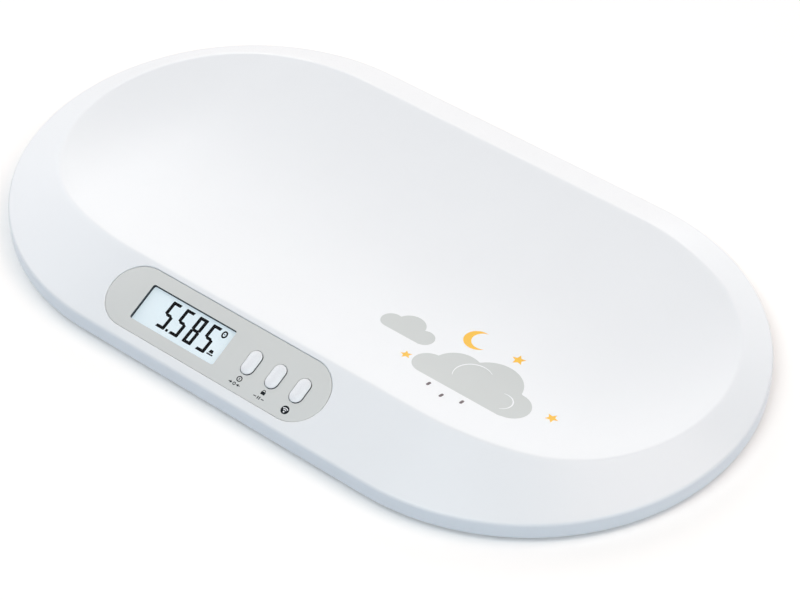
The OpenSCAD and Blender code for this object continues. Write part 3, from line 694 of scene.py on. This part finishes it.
def segment_points(letter, lit):
    """Outline of one of the seven segments, from the digit's lower left corner."""
    w = DIGIT_W
    h = DIGIT_H
    s = UPRIGHT_STROKE
    half = h / 2
    thick = LEVEL_STROKE / 2
    middle = [(s / 2, half), (s, half + thick), (w - s, half + thick),
              (w - s / 2, half), (w - s, half - thick), (s, half - thick)]
    side = [(0, h - DIGIT_BEVEL), (0, half + DIGIT_BEVEL), (s / 2, half),
            (s, half + thick), (s, h - 2 * thick)]
    side_down = [(x, h - y) for x, y in side]
    shapes = {
        "a": [(x, h + y) for x, y in level_bar("f" in lit, "b" in lit)],
        "f": side,
        "b": [(w - x, y) for x, y in side],
        "g": middle,
        "e": side_down,
        "c": [(w - x, y) for x, y in side_down],
        "d": [(x, -y) for x, y in level_bar("e" in lit, "c" in lit)],
    }
    return [(x + DIGIT_LEAN * y / h, y) for x, y in shapes[letter]]


def make_digits(materials):
    """The reading, in plain seven-segment digits, with its point."""
    bm = bmesh.new()
    for i, digit in enumerate(READING):
        place = (DIGIT_START + i * DIGIT_PITCH, DIGIT_LOW)
        for letter in LIT[digit]:
            plate(bm, segment_points(letter, LIT[digit]), INK, place)
    gap = DIGIT_PITCH - DIGIT_W
    point_x = DIGIT_START + POINT_AFTER * DIGIT_PITCH + DIGIT_W + (gap - POINT_SIDE) / 2
    corners = ((0, 0), (POINT_SIDE, 0), (POINT_SIDE, POINT_SIDE), (0, POINT_SIDE))
    plate(bm, corners, INK, (point_x, DIGIT_LOW))
    panel_piece("display_digits", bm, materials, "casing", "segment_ink")


def make_display_signs(materials):
    """Small generic signs beside the reading: a dot in an oval, and a load on a pan."""
    bm = bmesh.new()
    band(bm, OVAL_AT, 1.6 * MM, 2.1 * MM, 1.15 * MM, INK)
    plate(bm, disc(0.88 * MM, 0, 10), INK, OVAL_AT)
    plate(bm, in_mm([(-2.4, 0), (2.4, 0), (2.4, 0.95), (-2.4, 0.95)]), INK, PAN_AT)
    plate(bm, in_mm([(-1.7, 1.5), (1.7, 1.5), (1.15, 3.8), (-1.15, 3.8)]), INK, PAN_AT)
    panel_piece("display_signs", bm, materials, "casing", "segment_ink")


def make_display_mask(materials):
    """A near-black band round the display's view, painted shade seen past the window's upper and left
    walls; it is shifted so that more of it shows along the upper one.
    """
    grown = 2 * MASK_BORDER
    view_at = (WINDOW_AT[0], WINDOW_AT[1] - MASK_SHIFT)
    inner = rounded_box(WINDOW_LEN, WINDOW_H, WINDOW_ROUND, 0, view_at)
    outer = rounded_box(WINDOW_LEN + grown, WINDOW_H + grown, WINDOW_ROUND, 0, WINDOW_AT)
    low, high = INK
    bm = bmesh.new()
    loops = []
    for z, flat in ((low, inner), (low, outer), (high, outer), (high, inner)):
        loops.append([bm.verts.new((x, y, z)) for x, y, _ in flat])
    for a, b in zip(loops, loops[1:] + loops[:1]):
        skin(bm, a, b)
    panel_piece("display_mask", bm, materials, "casing", "window_dark")


# ---- Signs below the keys ----

POWER_SIGN_AT = (29.9 * MM, -13.0 * MM)
ZERO_SIGN_AT = (28.7 * MM, -17.2 * MM)
LOCK_SIGN_AT = (49.7 * MM, -13.0 * MM)
PAUSE_SIGN_AT = (49.0 * MM, -17.3 * MM)
WIRELESS_SIGN_AT = (69.4 * MM, -15.5 * MM)
THIN_STROKE = 0.55 * MM
ARC_START = math.radians(45)
ARC_END = math.radians(135)


def make_power_sign(bm):
    """A ring with a bar in it."""
    x, y = POWER_SIGN_AT
    round_band(bm, (x, y), 1.7 * MM, 0.7 * MM, SIGN)
    stroke(bm, (x, y - 0.8 * MM), (x, y + 0.8 * MM), 0.6 * MM, SIGN)


def make_zero_sign(bm):
    """Two arrow heads that point at a nought: set to zero."""
    x, y = ZERO_SIGN_AT
    round_band(bm, (x, y), 0.9 * MM, THIN_STROKE, SIGN, steps=20)
    for side in (-1, 1):
        plate(bm, in_mm([(side * 1.6, 0), (side * 3.3, 1.0), (side * 3.3, -1.0)]), SIGN, (x, y))
        tail = x + side * 3.2 * MM
        stroke(bm, (tail, y), (tail + side * 1.3 * MM, y), THIN_STROKE, SIGN)


def make_lock_sign(bm):
    """A padlock."""
    x, y = LOCK_SIGN_AT
    plate(bm, in_mm([(-1.6, -1.5), (1.6, -1.5), (1.6, 0.7), (-1.6, 0.7)]), SIGN, (x, y))
    round_band(bm, (x, y + 0.8 * MM), 0.95 * MM, 0.5 * MM, SIGN, start=0, end=math.pi, steps=16)


def make_pause_sign(bm):
    """Two upright bars between two short lines: hold the reading."""
    x, y = PAUSE_SIGN_AT
    for side in (-1, 1):
        bar = x + side * 0.7 * MM
        stroke(bm, (bar, y - 1.05 * MM), (bar, y + 1.05 * MM), 0.7 * MM, SIGN)
        line = x + side * 2.0 * MM
        stroke(bm, (line, y), (line + side * 2.2 * MM, y), THIN_STROKE, SIGN)


def make_wireless_sign(materials):
    """A dark disc with a light dot and two arcs."""
    x, y = WIRELESS_SIGN_AT
    bm = bmesh.new()
    plate(bm, disc(5.88 * MM, 0, 28), SIGN, (x, y))
    panel_piece("wireless_disc", bm, materials, "casing", "sign_ink")
    bm = bmesh.new()
    foot = (x, y - 1.4 * MM)
    plate(bm, disc(1.08 * MM, 0, 10), SIGN_OVER, foot)
    for radius in (1.5 * MM, 2.7 * MM):
        round_band(bm, foot, radius, 0.62 * MM, SIGN_OVER, start=ARC_START, end=ARC_END, steps=16)
    panel_piece("wireless_arcs", bm, materials, "casing", "key_plastic")


def make_signs(materials):
    """The generic signs below the keys."""
    bm = bmesh.new()
    make_power_sign(bm)
    make_zero_sign(bm)
    make_lock_sign(bm)
    make_pause_sign(bm)
    panel_piece("panel_signs", bm, materials, "casing", "sign_ink")
    make_wireless_sign(materials)


# ---- Printed design on the lying surface ----

PRINT_LIFT = 0.03 * MM
CURL_LIFT = 0.045 * MM
PRINT_SINK = 0.02 * MM
PRINT_STEP = 5 * MM
FACE_WELD = 0.001 * MM
CUT_WELD = 0.005 * MM

CLOUDS = [
    # name, place, round lobes as x, y and radius, height of the flat base, all in mm
    ("cloud_large", (124, -62), [(-31, -3, 11), (-15, 5, 17), (9, 9, 21), (31, 0, 13.5)], -14),
    ("cloud_small", (62, -44), [(-14, -2, 7.5), (-2, 2, 10.5), (12, -2, 7.5)], -9.5),
]
BASE_REACH = 0.15
CURLS = [
    # x, y and radius in mm, start and end in degrees
    (121, -56, 13, 55, 215),
    (148, -63, 8, -60, 110),
]
CURL_W = 0.9 * MM
CURL_TIP = 0.35
MOON_AT = (101 * MM, -24 * MM)
MOON_R = 9.5 * MM
MOON_TURN = math.radians(25)
MOON_SHIFT = 0.40
MOON_INNER = 0.84
STARS = [
    # x, y and radius in mm, turn in radians
    (132, -22, 5.0, 0.3),
    (181, -54, 4.6, -0.2),
    (77, -68, 4.2, 0.5),
]
STAR_WAIST = 0.45
STAR_ROUND = 0.4 * MM
CORNER_SHARE = 0.45
DROPS = in_mm([(106, -82), (119, -86), (132, -82)])
DROP_LEN = 4.2 * MM
DROP_W = 2.0 * MM


def cut_in_strips(bm, axis):
    """Cuts flat faces square to an axis, so that they can follow the surface."""
    places = [v.co.dot(axis) for v in bm.verts]
    high = max(places)
    at = min(places) + PRINT_STEP
    while at < high:
        geom = bm.verts[:] + bm.edges[:] + bm.faces[:]
        bmesh.ops.bisect_plane(bm, geom=geom, plane_co=axis * at, plane_no=axis)
        at += PRINT_STEP


def draped(name, faces, material, lift=PRINT_LIFT):
    """A thin print, given as flat convex faces in x and y, laid on the lying surface."""
    bm = bmesh.new()
    for face in faces:
        bm.faces.new([bm.verts.new((x, y, 0)) for x, y in face])
    bmesh.ops.remove_doubles(bm, verts=bm.verts, dist=FACE_WELD)
    cut_in_strips(bm, Vector((1, 0, 0)))
    cut_in_strips(bm, Vector((0, 1, 0)))
    bmesh.ops.remove_doubles(bm, verts=bm.verts, dist=CUT_WELD)
    made = bmesh.ops.extrude_face_region(bm, geom=bm.faces[:])
    upper = [v for v in made["geom"] if isinstance(v, bmesh.types.BMVert)]
    for v in bm.verts:
        v.co.z = top_z(v.co.x, v.co.y) - PRINT_SINK
    for v in upper:
        v.co.z += PRINT_SINK + lift
    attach(new_object(name, bm, material, PRINT_CREASE), "casing")


def fan(centre, outline):
    """Triangles from a centre to each side of an outline that it sees whole."""
    return [(centre, a, b) for a, b in zip(outline, outline[1:] + outline[:1])]


def strip_faces(rows):
    """Faces between rows of two points each."""
    return [(p[0], p[1], q[1], q[0]) for p, q in zip(rows, rows[1:])]


def cloud_outline(centre, lobes, base, steps=150):
    """Outline of a cloud round its centre: the farthest reach of its round lobes, flat below."""
    ends = [(x - r * BASE_REACH, x + r * BASE_REACH) for x, _, r in lobes]
    left = min(low for low, _ in ends)
    right = max(high for _, high in ends)
    points = []
    for i in range(steps):
        a = 2 * math.pi * i / steps
        ux = math.cos(a)
        uy = math.sin(a)
        reach = 0.0
        for x, y, r in lobes:
            along = x * ux + y * uy
            off = r * r - (x * uy - y * ux) ** 2
            if off > 0:
                reach = max(reach, along + math.sqrt(off))
        if uy < 0:
            flat = base / uy
            if left < flat * ux < right:
                reach = max(reach, flat)
            reach = min(reach, flat)
        points.append((centre[0] + reach * ux, centre[1] + reach * uy))
    return points


def star_outline(centre, radius, turn):
    """A five-pointed star."""
    points = []
    for i in range(10):
        r = radius if i % 2 == 0 else radius * STAR_WAIST
        a = math.pi / 2 + turn + math.pi * i / 5
        points.append((centre[0] + r * math.cos(a), centre[1] + r * math.sin(a)))
    return points


def rounded(points, radius, steps=3):
    """The same outline with its corners turned into curves."""
    out = []
    count = len(points)
    for i in range(count):
        p = Vector(points[i])
        before = Vector(points[i - 1]) - p
        after = Vector(points[(i + 1) % count]) - p
        cut = min(radius, before.length * CORNER_SHARE, after.length * CORNER_SHARE)
        a = p + before.normalized() * cut
        b = p + after.normalized() * cut
        for k in range(steps + 1):
            t = k / steps
            q = a * (1 - t) ** 2 + p * 2 * t * (1 - t) + b * t ** 2
            out.append((q.x, q.y))
    return out


def moon_faces(centre, radius, turn, steps=40):
    """A crescent as strips between its outer and its inner arc; turn is the way that it opens."""
    shift = MOON_SHIFT * radius
    inner = MOON_INNER * radius
    meet = (radius ** 2 - inner ** 2 + shift ** 2) / (2 * shift)
    tip = math.acos(meet / radius)
    tip_in = math.atan2(radius * math.sin(tip), meet - shift)
    cos = math.cos(turn)
    sin = math.sin(turn)
    rows = []
    for i in range(steps + 1):
        a = tip + (2 * math.pi - 2 * tip) * i / steps
        b = tip_in + (2 * math.pi - 2 * tip_in) * i / steps
        pair = (
            (radius * math.cos(a), radius * math.sin(a)),
            (shift + inner * math.cos(b), inner * math.sin(b)),
        )
        rows.append([(centre[0] + x * cos - y * sin, centre[1] + x * sin + y * cos) for x, y in pair])
    faces = strip_faces(rows)
    faces[0] = (rows[0][0], rows[1][1], rows[1][0])
    faces[-1] = (rows[-2][0], rows[-2][1], rows[-1][0])
    return faces


def arc_faces(centre, radius, width, start, end, steps=24):
    """A band along an arc, thinner towards its ends, as flat faces."""
    rows = []
    for i in range(steps + 1):
        a = start + (end - start) * i / steps
        thin = width * (CURL_TIP + (1 - CURL_TIP) * math.sin(math.pi * i / steps))
        reaches = (radius - thin / 2, radius + thin / 2)
        rows.append([(centre[0] + r * math.cos(a), centre[1] + r * math.sin(a)) for r in reaches])
    return strip_faces(rows)


def make_print(materials):
    """A sleeping sky: clouds in pale grey, a moon and stars in yellow, three dark drops."""
    for name, (x, y), lobes, base in CLOUDS:
        centre = (x * MM, y * MM)
        shape = [tuple(value * MM for value in lobe) for lobe in lobes]
        draped(name, fan(centre, cloud_outline(centre, shape, base * MM)), materials["print_grey"])
    for i, (x, y, radius, start, end) in enumerate(CURLS):
        curl = arc_faces((x * MM, y * MM), radius * MM, CURL_W, math.radians(start), math.radians(end))
        draped(f"cloud_curl_{i + 1}", curl, materials["tray_plastic"], CURL_LIFT)
    draped("moon", moon_faces(MOON_AT, MOON_R, MOON_TURN), materials["print_yellow"])
    for i, (x, y, radius, turn) in enumerate(STARS):
        centre = (x * MM, y * MM)
        star = rounded(star_outline(centre, radius * MM, turn), STAR_ROUND)
        draped(f"star_{i + 1}", fan(centre, star), materials["print_yellow"])
    for i, place in enumerate(DROPS):
        drop = [(x, y) for x, y, _ in stadium(DROP_LEN, DROP_W, 0, 10, place, True)]
        draped(f"drop_{i + 1}", [drop], materials["print_brown"])


# ---- Stage ----

FLOOR_HALF = 6
FLOOR_DROP = 0.05 * MM
FLOOR_PLAIN = (0.74, 0.82, 0.92, 1)
FLOOR_SEEN = (1.0, 0.965, 0.935, 1)
GLOW_NEAR = 0.16
GLOW_FAR = 1.0
GLOW_START = 0.8
GLOW_END = 2.4
WHITE = (1, 1, 1, 1)
WORLD_STRENGTH = 0.105


def mix_for_camera(tree, plain, seen):
    """Chooses one shader for what the camera, gloss and glass see, and another for lighting."""
    path = tree.nodes.new("ShaderNodeLightPath")
    first = tree.nodes.new("ShaderNodeMath")
    first.operation = "MAXIMUM"
    tree.links.new(path.outputs["Is Camera Ray"], first.inputs[0])
    tree.links.new(path.outputs["Is Glossy Ray"], first.inputs[1])
    second = tree.nodes.new("ShaderNodeMath")
    second.operation = "MAXIMUM"
    tree.links.new(first.outputs[0], second.inputs[0])
    tree.links.new(path.outputs["Is Transmission Ray"], second.inputs[1])
    mix = tree.nodes.new("ShaderNodeMixShader")
    tree.links.new(second.outputs[0], mix.inputs["Fac"])
    tree.links.new(plain, mix.inputs[1])
    tree.links.new(seen, mix.inputs[2])
    return mix


def floor_glow(tree):
    """A white glow that is weak round the part, where the lamps reach, and full far away."""
    place = tree.nodes.new("ShaderNodeTexCoord")
    length = tree.nodes.new("ShaderNodeVectorMath")
    length.operation = "LENGTH"
    tree.links.new(place.outputs["Object"], length.inputs[0])
    spread = tree.nodes.new("ShaderNodeMapRange")
    spread.interpolation_type = "SMOOTHSTEP"
    spread.inputs["From Min"].default_value = GLOW_START
    spread.inputs["From Max"].default_value = GLOW_END
    spread.inputs["To Min"].default_value = GLOW_NEAR
    spread.inputs["To Max"].default_value = GLOW_FAR
    tree.links.new(length.outputs["Value"], spread.inputs["Value"])
    glow = tree.nodes.new("ShaderNodeEmission")
    tree.links.new(spread.outputs["Result"], glow.inputs["Strength"])
    return glow


def make_floor():
    """A pale floor that shows white round the part and keeps its shadow."""
    material = bpy.data.materials.new("floor_pale")
    material.use_nodes = True
    tree = material.node_tree
    tree.nodes.remove(tree.nodes["Principled BSDF"])
    plain = tree.nodes.new("ShaderNodeBsdfDiffuse")
    plain.inputs["Color"].default_value = FLOOR_PLAIN
    bright = tree.nodes.new("ShaderNodeBsdfDiffuse")
    bright.inputs["Color"].default_value = FLOOR_SEEN
    glow = floor_glow(tree)
    both = tree.nodes.new("ShaderNodeAddShader")
    tree.links.new(bright.outputs[0], both.inputs[0])
    tree.links.new(glow.outputs[0], both.inputs[1])
    mix = mix_for_camera(tree, plain.outputs[0], both.outputs[0])
    tree.links.new(mix.outputs[0], tree.nodes["Material Output"].inputs["Surface"])
    bm = bmesh.new()
    bmesh.ops.create_grid(bm, x_segments=1, y_segments=1, size=FLOOR_HALF)
    bmesh.ops.translate(bm, verts=bm.verts, vec=(0, 0, -FLOOR_DROP))
    floor = new_object("floor", bm, material)


def make_world():
    """Soft light from all round; what the camera sees of it is white."""
    world = bpy.data.worlds.new("studio")
    bpy.context.scene.world = world
    world.use_nodes = True
    tree = world.node_tree
    plain = tree.nodes["Background"]
    plain.inputs["Color"].default_value = WHITE
    plain.inputs["Strength"].default_value = WORLD_STRENGTH
    seen = tree.nodes.new("ShaderNodeBackground")
    seen.inputs["Color"].default_value = WHITE
    mix = mix_for_camera(tree, plain.outputs[0], seen.outputs[0])
    tree.links.new(mix.outputs[0], tree.nodes["World Output"].inputs["Surface"])


CAMERA_AZIMUTH = math.radians(38.41)
CAMERA_ELEVATION = math.radians(43.31)
CAMERA_PLACE = (778.4 * MM, -958.8 * MM, 1143.9 * MM)
CAMERA_LENS = 112.9
CAMERA_SENSOR = 36
CAMERA_REACH = 50


def make_camera():
    """The photograph's viewpoint, solved from the tray's outline."""
    data = bpy.data.cameras.new("camera")
    data.lens = CAMERA_LENS
    data.sensor_width = CAMERA_SENSOR
    data.clip_end = CAMERA_REACH
    camera = bpy.data.objects.new("camera", data)
    bpy.context.scene.collection.objects.link(camera)
    camera.location = CAMERA_PLACE
    camera.rotation_euler = (math.pi / 2 - CAMERA_ELEVATION, 0, CAMERA_AZIMUTH)
    bpy.context.scene.camera = camera


LAMP_REACH = 2.5
LAMP_SIZE = 1.6
LAMPS = [
    # name, azimuth from +X, elevation, power, colour
    ("rear_right_lamp", 90, 20, 9.0, (0.92, 0.97, 1.0)),
    ("rear_lamp", 120, 20, 9.2, (1.0, 0.97, 0.92)),
    ("rear_left_lamp", 150, 20, 6.9, (1.0, 1.0, 1.0)),
    ("left_lamp", 180, 35, 14.0, (1.0, 0.98, 1.0)),
    ("right_lamp", 0, 35, 14.0, (0.80, 0.94, 1.0)),
    ("high_right_lamp", 30, 60, 17.0, (1.0, 0.80, 0.71)),
    ("high_front_lamp", 270, 57, 26.5, (0.83, 0.935, 1.0)),
]


def make_lamp(name, azimuth, elevation, power, colour):
    """A square soft lamp on a dome round the part, turned towards its middle."""
    a = math.radians(azimuth)
    e = math.radians(elevation)
    flat = LAMP_REACH * math.cos(e)
    place = Vector((flat * math.cos(a), flat * math.sin(a), LAMP_REACH * math.sin(e)))
    light = bpy.data.lights.new(name, "AREA")
    light.size = LAMP_SIZE
    light.energy = power
    light.color = colour
    lamp = bpy.data.objects.new(name, light)
    bpy.context.scene.collection.objects.link(lamp)
    lamp.location = place
    lamp.rotation_euler = (-place).to_track_quat("-Z", "Y").to_euler()


bpy.context.scene.view_settings.view_transform = "Standard"
materials = make_materials()
dress_nodes(materials)
make_camera()
make_world()
make_floor()
for lamp_values in LAMPS:
    make_lamp(*lamp_values)
make_tray(materials["tray_plastic"])
make_panel(materials)
for key_name, key_x in zip(("power", "hold", "wireless"), KEY_X):
    make_key(key_name, key_x, materials)
make_digits(materials)
make_display_signs(materials)
make_display_mask(materials)
make_signs(materials)
make_print(materials)
